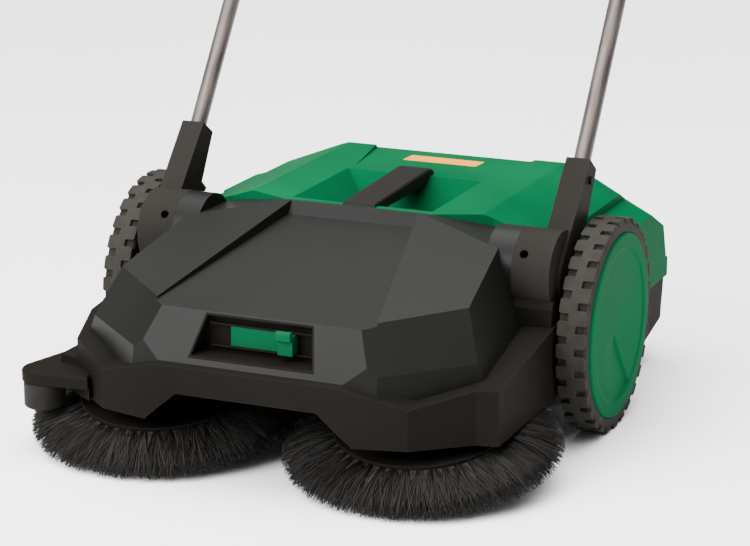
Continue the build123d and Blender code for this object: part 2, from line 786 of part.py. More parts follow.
# ---- dirt bin -----------------------------------------------------------------------------------
with BuildPart() as bin_cover:
    add(bin_block(0))
    add(bin_block(wall), mode=Mode.SUBTRACT)
    # open underside above the tub
    add(tub_block(wall, 2 * wall), mode=Mode.SUBTRACT)
    # mouth that faces the roller brush
    with BuildSketch(Plane.XZ.offset(-bin_mouth_y - 10)):
        with Locations((0, 165)):
            Rectangle(480, 80)
    extrude(amount=20, mode=Mode.SUBTRACT)
save(bin_cover.part, "bin_cover")

with BuildPart() as bin_tub:
    add(tub_block(0, 0))
    add(tub_block(wall, 0), mode=Mode.SUBTRACT)
    # the front wall is low, below the mouth
    with BuildSketch(Plane.XZ.offset(-bin_mouth_y - 10)):
        with Locations((0, 120)):
            Rectangle(480, 40)
    extrude(amount=20, mode=Mode.SUBTRACT)
save(bin_tub.part, "bin_tub")

with BuildPart() as bin_grip:
    with BuildSketch(along_x(-grip_bar_half)):
        with BuildLine():
            Polyline([
                (-70, bin_top_z), (-66, 318), (148, 326), (163, 322), (167, bin_top_z), (well_rear_y, bin_top_z),
                (132, 303), (-38, 303), (well_front_y, bin_top_z),
            ], close=True)
        make_face()
    extrude(amount=2 * grip_bar_half)
    fillet(bin_grip.edges().filter_by(lambda e: abs(e.center().X) > 25 and e.center().Z > 320), 4)
save(bin_grip.part, "bin_grip")

# ---- push handle --------------------------------------------------------------------------------
lean = radians(tube_lean)
along_tube = Vector(0, cos(lean), sin(lean))


def on_tube(distance):
    # point (y, z) on the tube's line, from the socket's top
    return (socket_top_y + distance * cos(lean), socket_top_z + distance * sin(lean))


for name, side in sides.items():
    with BuildPart() as carrier:
        add(shaft(side * drum_inner_x, side * drum_outer_x, pivot_y, pivot_z, drum_radius))
        with BuildSketch(along_x(side * 293)):
            with Locations((pivot_y + 15, pivot_z - 10)):
                Circle(38)
            with Locations(on_tube(-6), on_tube(-60)):
                Rectangle(12, 38, rotation=tube_lean)
            make_hull()
        extrude(amount=side * 36)
        add(shaft(side * (drum_inner_x - 1), side * 322, pivot_y, pivot_z, stub_radius + running_gap), mode=Mode.SUBTRACT)
        socket = Plane(origin=(side * tube_x, *on_tube(-60)), x_dir=(1, 0, 0), z_dir=along_tube)
        with BuildSketch(socket):
            Circle(tube_radius)
        extrude(amount=80, mode=Mode.SUBTRACT)
        # locking hole in the drum's front
        with BuildSketch(Plane(origin=(side * 284, pivot_y - 46, pivot_z + 32), z_dir=(0, -0.82, 0.57))):
            Circle(6.5)
        extrude(amount=30, both=True, mode=Mode.SUBTRACT)
    save(carrier.part, "carrier_" + name)

    with BuildPart() as tube:
        with BuildLine() as route:
            FilletPolyline(
                (side * tube_x, *on_tube(-60)),
                (side * tube_x, *on_tube(598)),
                (side * tube_x, crossbar_y, crossbar_z),
                (side * crossbar_half, crossbar_y, crossbar_z),
                radius=45,
            )
        with BuildSketch(Plane(origin=(side * tube_x, *on_tube(-60)), x_dir=(1, 0, 0), z_dir=along_tube)):
            Circle(tube_radius)
            Circle(tube_radius - tube_wall, mode=Mode.SUBTRACT)
        sweep()
    save(tube.part, "side_tube_" + name)

crossbar = shaft(-crossbar_half, crossbar_half, crossbar_y, crossbar_z, tube_radius, tube_radius - tube_wall)
save(crossbar, "handle_crossbar")
save(shaft(-190, 190, crossbar_y, crossbar_z, grip_radius, tube_radius), "handle_grip")

with BuildPart() as tube_couplers:
    for side in (-1, 1):
        add(shaft(side * 205, side * 245, crossbar_y, crossbar_z, 15, tube_radius))
save(tube_couplers.part, "tube_couplers")

with BuildPart() as socket_bolts:
    for side in (-1, 1):
        bolt_y, bolt_z = on_tube(-26)
        add(shaft(side * 329, side * 333, bolt_y, bolt_z, 6))
save(socket_bolts.part, "socket_bolts")
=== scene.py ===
import json
import math

import bmesh
import bpy
import numpy as np
from mathutils import Matrix, Vector


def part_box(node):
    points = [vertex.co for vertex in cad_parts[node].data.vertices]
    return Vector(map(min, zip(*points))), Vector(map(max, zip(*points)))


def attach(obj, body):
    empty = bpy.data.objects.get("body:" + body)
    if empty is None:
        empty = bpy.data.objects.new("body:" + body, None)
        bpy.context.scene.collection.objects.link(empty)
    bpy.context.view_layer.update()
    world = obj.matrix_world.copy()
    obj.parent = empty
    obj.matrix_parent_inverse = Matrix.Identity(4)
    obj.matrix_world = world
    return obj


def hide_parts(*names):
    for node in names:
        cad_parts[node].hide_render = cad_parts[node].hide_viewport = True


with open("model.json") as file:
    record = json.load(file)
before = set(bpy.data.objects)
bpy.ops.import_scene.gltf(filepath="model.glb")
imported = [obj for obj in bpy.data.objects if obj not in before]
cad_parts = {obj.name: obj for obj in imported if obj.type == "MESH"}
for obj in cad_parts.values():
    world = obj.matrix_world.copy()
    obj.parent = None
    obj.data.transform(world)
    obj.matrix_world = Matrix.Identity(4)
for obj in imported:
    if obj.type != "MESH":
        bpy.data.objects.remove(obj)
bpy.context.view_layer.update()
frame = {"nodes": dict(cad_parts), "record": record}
nodes = frame["nodes"]
scene = bpy.context.scene
behaviour = frame["record"]["behaviour"]
body_of = {n: body for body, members in behaviour["bodies"].items() for n in members}
joints = {joint["name"]: joint for joint in behaviour["joints"]}

MM = 0.001
SIDES = {"left": -1, "right": 1}


def mm(*values):
    return Vector(values) * MM


def joint_place(name):
    # a point on a joint's axis, in millimetres
    return [round(c / MM, 2) for c in joints[name]["pos_m"]]


def node_box(node):
    # lowest and highest corner of a CAD node, in millimetres
    return [[round(c / MM, 2) for c in corner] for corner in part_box(node)]


# ---- camera, floor and light ---------------------------------------------------------------------
CAMERA_AZIMUTH = 22.92
CAMERA_ELEVATION = 15.53
CAMERA_ROLL = 0.21
CAMERA_PLACE = mm(1447.5, -3428.7, 1227.6)
CAMERA_LENS = 123.05


def make_camera():
    data = bpy.data.cameras.new("camera")
    data.sensor_width = 36
    data.lens = CAMERA_LENS
    data.clip_end = 100
    camera = bpy.data.objects.new("camera", data)
    scene.collection.objects.link(camera)
    turn = Matrix.Rotation(math.radians(CAMERA_AZIMUTH), 4, "Z")
    tilt = Matrix.Rotation(math.radians(90 - CAMERA_ELEVATION), 4, "X")
    roll = Matrix.Rotation(math.radians(CAMERA_ROLL), 4, "Z")
    camera.matrix_world = Matrix.Translation(CAMERA_PLACE) @ turn @ tilt @ roll
    scene.camera = camera


def add_area_light(name, place, target, size, power):
    data = bpy.data.lights.new(name, "AREA")
    data.shape = "RECTANGLE"
    data.size, data.size_y = size
    data.energy = power
    light = bpy.data.objects.new(name, data)
    scene.collection.objects.link(light)
    aim = (Vector(target) - Vector(place)).to_track_quat("-Z", "Y")
    light.matrix_world = Matrix.Translation(place) @ aim.to_matrix().to_4x4()


def make_lights():
    middle = (0, -0.1, 0.2)
    add_area_light("front_softbox", (-1.3, -3.0, 2.0), middle, (2.8, 1.9), 300)
    add_area_light("top_softbox", (0.1, 0.2, 3.0), middle, (2.4, 2.4), 80)
    add_area_light("rear_softbox", (1.5, 2.4, 1.6), middle, (2.0, 1.4), 6)
    # the room: a bright ceiling over darker walls
    world = bpy.data.worlds.new("studio")
    world.use_nodes = True
    tree = world.node_tree
    direction = tree.nodes.new("ShaderNodeTexCoord")
    split = tree.nodes.new("ShaderNodeSeparateXYZ")
    walls = tree.nodes.new("ShaderNodeValToRGB")
    ramp = walls.color_ramp
    ramp.elements[0].position, ramp.elements[0].color = 0.3, (0.05, 0.05, 0.05, 1)
    ramp.elements[1].position, ramp.elements[1].color = 0.86, (1, 1, 1, 1)
    middle_stop = ramp.elements.new(0.65)
    middle_stop.color = (0.13, 0.13, 0.13, 1)
    # the wall on the right is the darkest
    right = tree.nodes.new("ShaderNodeMapRange")
    right.inputs["From Min"].default_value = -0.2
    right.inputs["From Max"].default_value = 0.8
    right.inputs["To Min"].default_value = 7.6
    right.inputs["To Max"].default_value = 2.4
    background = tree.nodes["Background"]
    tree.links.new(direction.outputs["Generated"], split.inputs["Vector"])
    tree.links.new(split.outputs["X"], right.inputs["Value"])
    tree.links.new(right.outputs["Result"], background.inputs["Strength"])
    tree.links.new(split.outputs["Z"], walls.inputs["Fac"])
    tree.links.new(walls.outputs["Color"], background.inputs["Color"])
    scene.world = world


# ---- materials -----------------------------------------------------------------------------------
class Nodes:
    """A short way to write a material's node tree."""

    def __init__(self, name):
        self.material = bpy.data.materials.new(name)
        self.material.use_nodes = True
        self.tree = self.material.node_tree
        self.shader = self.tree.nodes["Principled BSDF"]
        self.place = self.add("ShaderNodeTexCoord").outputs["Object"]

    def add(self, kind, values=None, **settings):
        node = self.tree.nodes.new(kind)
        for key, value in settings.items():
            setattr(node, key, value)
        for key, value in (values or {}).items():
            if isinstance(value, bpy.types.NodeSocket):
                self.tree.links.new(value, node.inputs[key])
            else:
                node.inputs[key].default_value = value
        return node

    def noise(self, scale, detail=3.0, stretch=None):
        place = self.place
        if stretch:
            place = self.add("ShaderNodeMapping", {"Vector": place, "Scale": stretch}).outputs["Vector"]
        values = {"Vector": place, "Scale": scale, "Detail": detail}
        return self.add("ShaderNodeTexNoise", values).outputs["Fac"]

    def cells(self, scale):
        values = {"Vector": self.place, "Scale": scale}
        return self.add("ShaderNodeTexVoronoi", values).outputs["Distance"]

    def remap(self, value, low, high, new_low, new_high):
        values = {"Value": value, "From Min": low, "From Max": high, "To Min": new_low, "To Max": new_high}
        return self.add("ShaderNodeMapRange", values, clamp=True).outputs["Result"]

    def blend(self, factor, a, b):
        node = self.add("ShaderNodeMix", data_type="RGBA")
        for socket, value in zip((node.inputs[0], node.inputs[6], node.inputs[7]), (factor, a, b)):
            if isinstance(value, bpy.types.NodeSocket):
                self.tree.links.new(value, socket)
            else:
                socket.default_value = value
        return node.outputs[2]

    def bump(self, height, strength, distance_mm, normal=None):
        values = {"Height": height, "Strength": strength, "Distance": distance_mm * MM}
        if normal:
            values["Normal"] = normal
        return self.add("ShaderNodeBump", values).outputs["Normal"]

    def edges(self, radius_mm):
        # 1 along convex and concave edges, 0 on flat faces
        rounded = self.add("ShaderNodeBevel", {"Radius": radius_mm * MM}, samples=4).outputs["Normal"]
        flat = self.add("ShaderNodeNewGeometry").outputs["True Normal"]
        turn = self.add("ShaderNodeVectorMath", operation="DOT_PRODUCT")
        self.tree.links.new(rounded, turn.inputs[0])
        self.tree.links.new(flat, turn.inputs[1])
        return self.remap(turn.outputs["Value"], 0.99, 0.86, 0.0, 1.0)

    def plug(self, **sockets):
        for key, value in sockets.items():
            socket = self.shader.inputs[key.replace("_", " ")]
            if isinstance(value, bpy.types.NodeSocket):
                self.tree.links.new(value, socket)
            else:
                socket.default_value = value
        return self.material


def colour(red, green, blue):
    # 0 to 255 screen values as a linear colour
    channels = []
    for value in (red, green, blue):
        share = value / 255
        linear = share / 12.92 if share <= 0.04045 else ((share + 0.055) / 1.055) ** 2.4
        channels.append(linear)
    return (*channels, 1.0)


def toned(tint, gain, lift=0.0):
    # a colour made lighter or darker
    return [min(1.0, c * gain + lift) for c in tint[:3]] + [1.0]


def moulded_plastic(name, tint, rough, grain_mm, grain, specular, edge_highlight_gain):
    # injection-moulded plastic: spark-eroded grain, faint flow shading, painted highlights along the edges,
    # fine dust
    m = Nodes(name)
    cloud = m.noise(5.0, 2.0)
    fleck = m.noise(1 / (grain_mm * 2.6 * MM), 2.0)
    base = m.blend(m.remap(cloud, 0.35, 0.65, 0, 1), toned(tint, 0.88), toned(tint, 1.12))
    base = m.blend(m.remap(fleck, 0.62, 0.8, 0, 0.25), base, toned(tint, 1.5, 0.004))
    # painted highlight: the edges are painted paler, in patches
    edge_highlight = m.blend(m.edges(1.2), base, toned(tint, edge_highlight_gain, 0.003))
    base = m.blend(m.remap(m.noise(40.0), 0.3, 0.7, 0.35, 0.9), base, edge_highlight)
    rough_map = m.remap(cloud, 0.3, 0.7, rough - 0.05, rough + 0.06)
    leather = m.cells(1 / (grain_mm * MM))
    normal = m.bump(leather, grain, 0.12)
    normal = m.bump(m.noise(9.0, 1.0), 0.25, 0.5, normal)
    return m.plug(Base_Color=base, Roughness=rough_map, Normal=normal, Specular_IOR_Level=specular)


def tyre_rubber():
    # matte rubber with mould haze, fine scuffs, and every edge painted paler: painted highlight on the lug
    # edges, dust in the hollows of the tread
    m = Nodes("tyre_rubber")
    haze = m.noise(60.0, 4.0)
    scuff = m.noise(220.0, 3.0, (1.0, 0.25, 0.25))
    base = m.blend(m.remap(haze, 0.35, 0.7, 0, 1), colour(24, 22, 20), colour(38, 36, 33))
    base = m.blend(m.remap(scuff, 0.6, 0.78, 0, 0.45), base, colour(52, 49, 46))
    # painted highlight along the lug edges; the same mask lays dust in the hollows
    base = m.blend(m.remap(m.edges(1.0), 0, 1, 0, 0.6), base, colour(66, 62, 57))
    # the running faces of the lugs are scuffed pale
    radial = m.add("ShaderNodeVectorMath", operation="MULTIPLY_ADD")
    m.tree.links.new(m.place, radial.inputs[0])
    radial.inputs[1].default_value = (0, 1, 1)
    radial.inputs[2].default_value = (0, 0, -WHEEL_AXLE_Z * MM)
    radius = m.add("ShaderNodeVectorMath", operation="LENGTH")
    m.tree.links.new(radial.outputs["Vector"], radius.inputs[0])
    worn = m.remap(radius.outputs["Value"], (LUG_TOP - 1.6) * MM, (LUG_TOP - 0.3) * MM, 0, 1)
    scuffed = m.blend(worn, base, colour(42, 40, 37))
    base = m.blend(m.remap(m.noise(70.0, 3.0), 0.3, 0.7, 0.35, 0.9), base, scuffed)
    normal = m.bump(m.noise(1400.0, 2.0), 0.25, 0.15)
    rough = m.remap(haze, 0.3, 0.7, 0.62, 0.8)
    return m.plug(Base_Color=base, Roughness=rough, Normal=normal, Specular_IOR_Level=0.06)


def bristle_fibre():
    # black polypropylene filaments, each with its own tone, with dusty patches here and there
    m = Nodes("bristle")
    own = m.add("ShaderNodeNewGeometry").outputs["Random Per Island"]
    base = m.blend(m.remap(own, 0.25, 1.0, 0, 1), colour(10, 9, 8), colour(42, 39, 36))
    base = m.blend(m.remap(m.noise(30.0, 2.0), 0.5, 0.75, 0, 0.4), base, colour(22, 20, 18))
    normal = m.bump(m.noise(900.0, 1.0), 0.2, 0.1)
    rough = m.remap(own, 0, 1, 0.42, 0.62)
    return m.plug(Base_Color=base, Roughness=rough, Normal=normal, Specular_IOR_Level=0.15)


def painted_bristle_shade():
    # painted shade: a dark sheet for the dense, shaded inside of a bristle field
    m = Nodes("bristle_shade")
    streak = m.noise(400.0, 2.0)
    base = m.blend(m.remap(streak, 0.3, 0.7, 0, 1), colour(9, 8, 8), colour(20, 19, 18))
    normal = m.bump(streak, 0.8, 0.6)
    return m.plug(Base_Color=base, Roughness=m.remap(streak, 0, 1, 0.8, 0.95), Normal=normal)


def soft_rubber():
    # dull moulded rubber for belts, seals and small rollers
    m = Nodes("soft_rubber")
    haze = m.noise(45.0, 3.0)
    base = m.blend(m.remap(haze, 0.35, 0.65, 0, 1), colour(18, 16, 15), colour(28, 26, 24))
    # painted highlight: paler along the edges
    base = m.blend(m.remap(m.edges(0.8), 0, 1, 0, 0.4), base, colour(56, 53, 50))
    normal = m.bump(m.noise(1600.0, 2.0), 0.2, 0.12)
    rough = m.remap(haze, 0.3, 0.7, 0.55, 0.72)
    return m.plug(Base_Color=base, Roughness=rough, Normal=normal, Specular_IOR_Level=0.08)


def foam_grip():
    # closed-cell foam sleeve: tiny pores with painted shade in them, and a soft dull skin
    m = Nodes("foam_grip")
    pores = m.cells(900.0)
    haze = m.noise(25.0, 3.0)
    base = m.blend(m.remap(haze, 0.35, 0.65, 0, 1), colour(26, 25, 24), colour(42, 40, 38))
    # painted shade: the pores are painted dark
    base = m.blend(m.remap(pores, 0.0, 0.25, 0.6, 0.0), base, colour(10, 10, 10))
    normal = m.bump(pores, 0.6, 0.4)
    rough = m.remap(haze, 0.3, 0.7, 0.78, 0.9)
    return m.plug(Base_Color=base, Roughness=rough, Normal=normal, Specular_IOR_Level=0.1)


def aluminium_tube():
    # drawn and satin-anodised tube: streaks along its length, small handling marks
    m = Nodes("aluminium_tube")
    streak = m.noise(260.0, 3.0, (1.0, 0.06, 0.06))
    marks = m.noise(90.0, 4.0)
    base = m.blend(m.remap(streak, 0.3, 0.7, 0, 1), colour(80, 74, 71), colour(104, 97, 94))
    base = m.blend(m.remap(marks, 0.66, 0.8, 0, 0.35), base, colour(122, 116, 112))
    rough = m.remap(streak, 0.3, 0.7, 0.36, 0.5)
    return m.plug(Base_Color=base, Metallic=0.75, Roughness=rough, Normal=m.bump(streak, 0.12, 0.1))


def plain_metal(name, dark, light, rough):
    # turned and plated steel or sintered bronze: fine turning lines and a faint stain
    m = Nodes(name)
    stain = m.noise(55.0, 4.0)
    lines = m.noise(900.0, 2.0, (1.0, 0.1, 0.1))
    base = m.blend(m.remap(stain, 0.3, 0.7, 0, 1), dark, light)
    rough_map = m.remap(stain, 0.3, 0.7, rough - 0.07, rough + 0.08)
    return m.plug(Base_Color=base, Metallic=1.0, Roughness=rough_map, Normal=m.bump(lines, 0.15, 0.08))


def printed_label():
    # plain orange film, a little faded, with no print on it
    m = Nodes("label_film")
    fade = m.noise(35.0, 3.0)
    base = m.blend(m.remap(fade, 0.35, 0.65, 0, 1), colour(205, 128, 30), colour(216, 142, 42))
    normal = m.bump(m.noise(700.0, 2.0), 0.08, 0.1)
    rough = m.remap(fade, 0, 1, 0.34, 0.46)
    return m.plug(Base_Color=base, Roughness=rough, Normal=normal, Specular_IOR_Level=0.1)


def grip_plastic():
    # black plastic with fine cross ribs for the fingers
    m = Nodes("grip_plastic")
    ribs = m.add("ShaderNodeTexWave", {"Vector": m.place, "Scale": 52.0}, bands_direction="Y").outputs["Fac"]
    grain = m.noise(600.0, 2.0)
    base = m.blend(m.remap(grain, 0.3, 0.7, 0, 1), colour(16, 15, 14), colour(26, 24, 22))
    # painted highlight: paler along the edges
    base = m.blend(m.remap(m.edges(1.0), 0, 1, 0, 0.6), base, colour(60, 56, 52))
    normal = m.bump(grain, 0.25, 0.12, m.bump(ribs, 0.7, 0.7))
    rough = m.remap(grain, 0.3, 0.7, 0.46, 0.6)
    return m.plug(Base_Color=base, Roughness=rough, Normal=normal, Specular_IOR_Level=0.05)


def studio_floor():
    # white seamless backdrop, very slightly uneven
    m = Nodes("studio_floor")
    cloud = m.noise(1.2, 2.0)
    base = m.blend(m.remap(cloud, 0.3, 0.7, 0, 1), (0.92, 0.92, 0.92, 1), (0.95, 0.95, 0.95, 1))
    return m.plug(Base_Color=base, Roughness=m.remap(cloud, 0, 1, 0.75, 0.85), Specular_IOR_Level=0.1)


def make_materials():
    return {
        "hood_plastic": moulded_plastic("hood_plastic", colour(15, 16, 14), 0.42, 0.9, 0.10, 0.08, 2.4),
        "black_plastic": moulded_plastic("black_plastic", colour(19, 17, 15), 0.54, 0.8, 0.16, 0.012, 2.4),
        # painted light: a paler copy of the black plastic for the carriers, lit brighter
        "black_painted_light": moulded_plastic("black_painted_light", colour(34, 32, 30), 0.5, 0.8, 0.14, 0.006, 1.9),
        "green_plastic": moulded_plastic("green_plastic", colour(3, 74, 44), 0.54, 0.9, 0.10, 0.006, 1.25),
        # painted shade: a darker copy of the green plastic for the slider, shaded in its recess
        "green_painted_shade": moulded_plastic("green_painted_shade", colour(6, 66, 40), 0.5, 0.7, 0.14, 0.02, 1.5),
        "grip_plastic": grip_plastic(),
        "tyre_rubber": tyre_rubber(),
        "bristle": bristle_fibre(),
        "bristle_shade": painted_bristle_shade(),
        "soft_rubber": soft_rubber(),
        "foam_grip": foam_grip(),
        "aluminium_tube": aluminium_tube(),
        "steel": plain_metal("steel", colour(84, 84, 84), colour(122, 122, 120), 0.4),
        "bronze": plain_metal("bronze", colour(140, 104, 60), colour(178, 138, 84), 0.42),
        "label": printed_label(),
        "floor": studio_floor(),
    }


def paint(piece, material):
    piece.data.materials.clear()
    piece.data.materials.append(material)


# ---- mesh helpers --------------------------------------------------------------------------------
SHARP_ANGLE = math.radians(14)


def add_piece(name, mesh, material, body, replaced=()):
    piece = bpy.data.objects.new(name, mesh)
    scene.collection.objects.link(piece)
    paint(piece, materials[material])
    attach(piece, body)
    if replaced:
        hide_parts(*replaced)
    return piece


def mesh_from(name, bm):
    bmesh.ops.recalc_face_normals(bm, faces=bm.faces)
    for face in bm.faces:
        face.smooth = True
    mesh = bpy.data.meshes.new(name)
    bm.to_mesh(mesh)
    bm.free()
    return mesh


def weigh_normals(piece):
    modifier = piece.modifiers.new("normals", "WEIGHTED_NORMAL")
    modifier.keep_sharp = True
    modifier.weight = 80


def sharpen(piece, degrees):
    # faces that meet at more than this angle keep a crisp edge
    bm = bmesh.new()
    bm.from_mesh(piece.data)
    for edge in bm.edges:
        edge.smooth = not (len(edge.link_faces) == 2 and edge.calc_face_angle(0) > math.radians(degrees))
    bm.to_mesh(piece.data)
    bm.free()


def settle_normals(piece):
    # all faces point out
    bm = bmesh.new()
    bm.from_mesh(piece.data)
    bmesh.ops.recalc_face_normals(bm, faces=bm.faces)
    bm.to_mesh(piece.data)
    bm.free()


def cad_shell(node):
    # the CAD node's mesh with its flat faces whole again
    bm = bmesh.new()
    bm.from_mesh(nodes[node].data)
    bmesh.ops.remove_doubles(bm, verts=bm.verts, dist=0.002 * MM)
    bmesh.ops.dissolve_limit(
        bm, angle_limit=math.radians(0.6), use_dissolve_boundaries=False, verts=bm.verts, edges=bm.edges
    )
    return bm


def soften(node, material, radius_mm):
    # the CAD shape with its moulded edge radii, as a piece that stands for the node
    bm = cad_shell(node)
    sharp = [e for e in bm.edges if len(e.link_faces) == 2 and e.calc_face_angle(0) > SHARP_ANGLE]
    bmesh.ops.bevel(
        bm, geom=sharp, offset=radius_mm * MM, offset_type="OFFSET", segments=3, profile=0.5,
        affect="EDGES", clamp_overlap=True, miter_outer="ARC",
    )
    piece = add_piece(node + "_shell", mesh_from(node + "_shell", bm), material, body_of[node], (node,))
    weigh_normals(piece)


# ---- shells with moulded edges -------------------------------------------------------------------
# node: material, slot in the record, edge radius in millimetres
SHELLS = {
    "front_hood": ("hood_plastic", "hood_plastic", 1.4),
    "chassis_frame": ("black_plastic", "black_plastic", 1.4),
    "slider_bezel": ("black_plastic", "black_plastic", 0.8),
    "bin_cover": ("green_plastic", "green_plastic", 1.45),
    "bin_tub": ("black_plastic", "black_plastic", 1.4),
    # painted shade: the slider gets the darker copy of the green plastic
    "bin_grip": ("grip_plastic", "black_plastic", 1.2),
    "height_slider": ("green_painted_shade", "green_plastic", 1.2),
    "corner_arm": ("black_plastic", "black_plastic", 2.4),
    # painted light: the carriers get the paler copy of the black plastic
    "carrier_left": ("black_painted_light", "black_plastic", 2.6),
    "carrier_right": ("black_painted_light", "black_plastic", 2.6),
    "guide_roller": ("soft_rubber", "black_plastic", 2.0),
    "tube_couplers": ("black_plastic", "black_plastic", 0.8),
    "brush_disc_left": ("black_plastic", "black_plastic", 1.0),
    "brush_disc_right": ("black_plastic", "black_plastic", 1.0),
    "support_roller": ("soft_rubber", "black_plastic", 2.0),
    "support_lever": ("black_plastic", "black_plastic", 0.8),
    "roller_tunnel": ("black_plastic", "black_plastic", 0.8),
}


def make_shells():
    for node, (material, slot, radius_mm) in SHELLS.items():
        soften(node, material, radius_mm)


# ---- turned shapes -------------------------------------------------------------------------------
WHEEL_AXLE_Z = joint_place("wheel_right_spin")[2]


def spin(bm, outline, y, z, side=1, segments=96):
    # closed outline of (x, radius) turned about a line along X through (y, z)
    rings = []
    for step in range(segments):
        turn = math.tau * step / segments
        across, up = math.sin(turn), math.cos(turn)
        rings.append([bm.verts.new(mm(side * x, y + r * across, z + r * up)) for x, r in outline])
    for step, here in enumerate(rings):
        there = rings[(step + 1) % segments]
        for i in range(len(outline)):
            j = (i + 1) % len(outline)
            bm.faces.new((here[i], here[j], there[j], there[i]))


# ---- tyres ---------------------------------------------------------------------------------------
LUG_COUNT = 30
LUG_ROOT = 150.5
LUG_TOP = 157.4
# the carcass stands up as a rib between the two rows of lugs
CARCASS = [
    (340, 128.2), (340, 148.5), (342.5, 151.5), (353, 151.5), (354.5, 153), (355, 156.6), (356, 157.2),
    (366, 157.2), (367, 156.6), (367.5, 153), (369, 151.5), (380, 151.5), (382.6, 149.5), (383, 147),
    (383, 137.5), (382, 136.6), (379.2, 136.6), (379.2, 128.2),
]
OUTER_LUG = [(383, -9), (383, 9), (380, 11), (364, 11), (364, -11), (380, -11)]
INNER_LUG = [(340, -9), (340, 9), (343, 11), (358, 11), (358, -11), (343, -11)]


def tread_lug(outline):
    # one lug in flat coordinates: across the tyre, along the tread, radius
    bm = bmesh.new()
    foot = bm.faces.new([bm.verts.new((x, s, LUG_ROOT)) for x, s in outline])
    grown = bmesh.ops.extrude_face_region(bm, geom=[foot], use_keep_orig=True)["geom"]
    for corner in [g for g in grown if isinstance(g, bmesh.types.BMVert)]:
        corner.co.z = LUG_TOP
    crown = [e for e in bm.edges if min(v.co.z for v in e.verts) > LUG_TOP - 0.1]
    bmesh.ops.bevel(bm, geom=crown, offset=1.3, segments=2, profile=0.5, affect="EDGES", clamp_overlap=True)
    points = [tuple(v.co) for v in bm.verts]
    bm.verts.index_update()
    faces = [[v.index for v in f.verts] for f in bm.faces]
    bm.free()
    return points, faces


def make_tyre(name, side):
    bm = bmesh.new()
    spin(bm, CARCASS, 0, WHEEL_AXLE_Z, side, 120)
    pitch = math.tau / LUG_COUNT
    for outline, shift in ((OUTER_LUG, 0.0), (INNER_LUG, pitch / 2)):
        points, faces = tread_lug(outline)
        for lug in range(LUG_COUNT):
            corners = []
            for x, s, r in points:
                turn = s / LUG_TOP + shift + lug * pitch
                y, z = r * math.sin(turn), WHEEL_AXLE_Z + r * math.cos(turn)
                corners.append(bm.verts.new(mm(side * x, y, z)))
            for face in faces:
                bm.faces.new([corners[i] for i in face])
    node = "tyre_" + name
    mesh = mesh_from(node + "_tread", bm)
    piece = add_piece(node + "_tread", mesh, "tyre_rubber", body_of[node], (node,))
    weigh_normals(piece)
    sharpen(piece, 38)


# ---- wheel caps ----------------------------------------------------------------------------------
(CAP_BACK_X, _, _), (CAP_FACE_X, CAP_RADIUS, _) = node_box("wheel_cap_right")
CAP_EDGE = 3.2
CAP_STEPS = 360
# rings every 1.5 mm over the dish, then closer over the rim's edge
CAP_RINGS = [1.5 + 1.5 * i for i in range(78)] + [119, 122, 127, 131, 132.8, 134, 135, 135.6, CAP_RADIUS]
DISH_RADIUS = 113.0
DISH_DEPTH = 1.8
WEDGE_APEX_Y = -33.0
WEDGE_REAR_Y = 51.6
WEDGE_LOW_Z = 56.0
WEDGE_DEPTH = 3.4


def ease(value, low, high):
    # smooth step from 0 at low to 1 at high
    share = min(1.0, max(0.0, (value - low) / (high - low)))
    return share * share * (3 - 2 * share)


def cap_height(r, turn):
    # distance of the cap's face from the wheel's middle; turn is measured from straight down, rearwards
    rim = CAP_EDGE - math.sqrt(max(0.0, CAP_EDGE ** 2 - max(0.0, r - (CAP_RADIUS - CAP_EDGE)) ** 2))
    dish = DISH_DEPTH * (1 - ease(r, DISH_RADIUS - 3, DISH_RADIUS + 3))
    # a ramp that sinks rearwards from a line below the middle to a steep wall, down to the dish's rim
    y, z = r * math.sin(turn), WHEEL_AXLE_Z - r * math.cos(turn)
    fall = (WHEEL_AXLE_Z - z) / (WHEEL_AXLE_Z - WEDGE_LOW_Z)
    wall_y = WEDGE_APEX_Y + fall * (WEDGE_REAR_Y - WEDGE_APEX_Y)
    ramp = ease(y, WEDGE_APEX_Y - 34, wall_y - 6) * (1 - ease(y, wall_y - 1.5, wall_y + 1.5))
    wedge = WEDGE_DEPTH * ramp * ease(fall, 0.0, 0.3) * (1 - ease(r, DISH_RADIUS - 1, DISH_RADIUS + 2))
    return CAP_FACE_X - rim - dish - wedge


def cap_ring(bm, side, r, place):
    # one ring of corners; place gives the distance from the wheel's middle at each turn
    ring = []
    for step in range(CAP_STEPS):
        turn = math.tau * step / CAP_STEPS - math.pi
        y, z = r * math.sin(turn), WHEEL_AXLE_Z - r * math.cos(turn)
        ring.append(bm.verts.new(mm(side * place(r, turn), y, z)))
    return ring


def make_cap(name, side):
    bm = bmesh.new()
    rings = [cap_ring(bm, side, r, cap_height) for r in CAP_RINGS]
    back = cap_ring(bm, side, CAP_RADIUS, lambda r, turn: CAP_BACK_X)
    rings.append(back)
    for inner, outer in zip(rings, rings[1:]):
        for step in range(CAP_STEPS):
            after = (step + 1) % CAP_STEPS
            bm.faces.new((inner[step], inner[after], outer[after], outer[step]))
    bm.faces.new(rings[0])
    bm.faces.new(back)
    node = "wheel_cap_" + name
    mesh = mesh_from(node + "_face", bm)
    piece = add_piece(node + "_face", mesh, "green_plastic", body_of[node], (node,))
    sharpen(piece, 50)


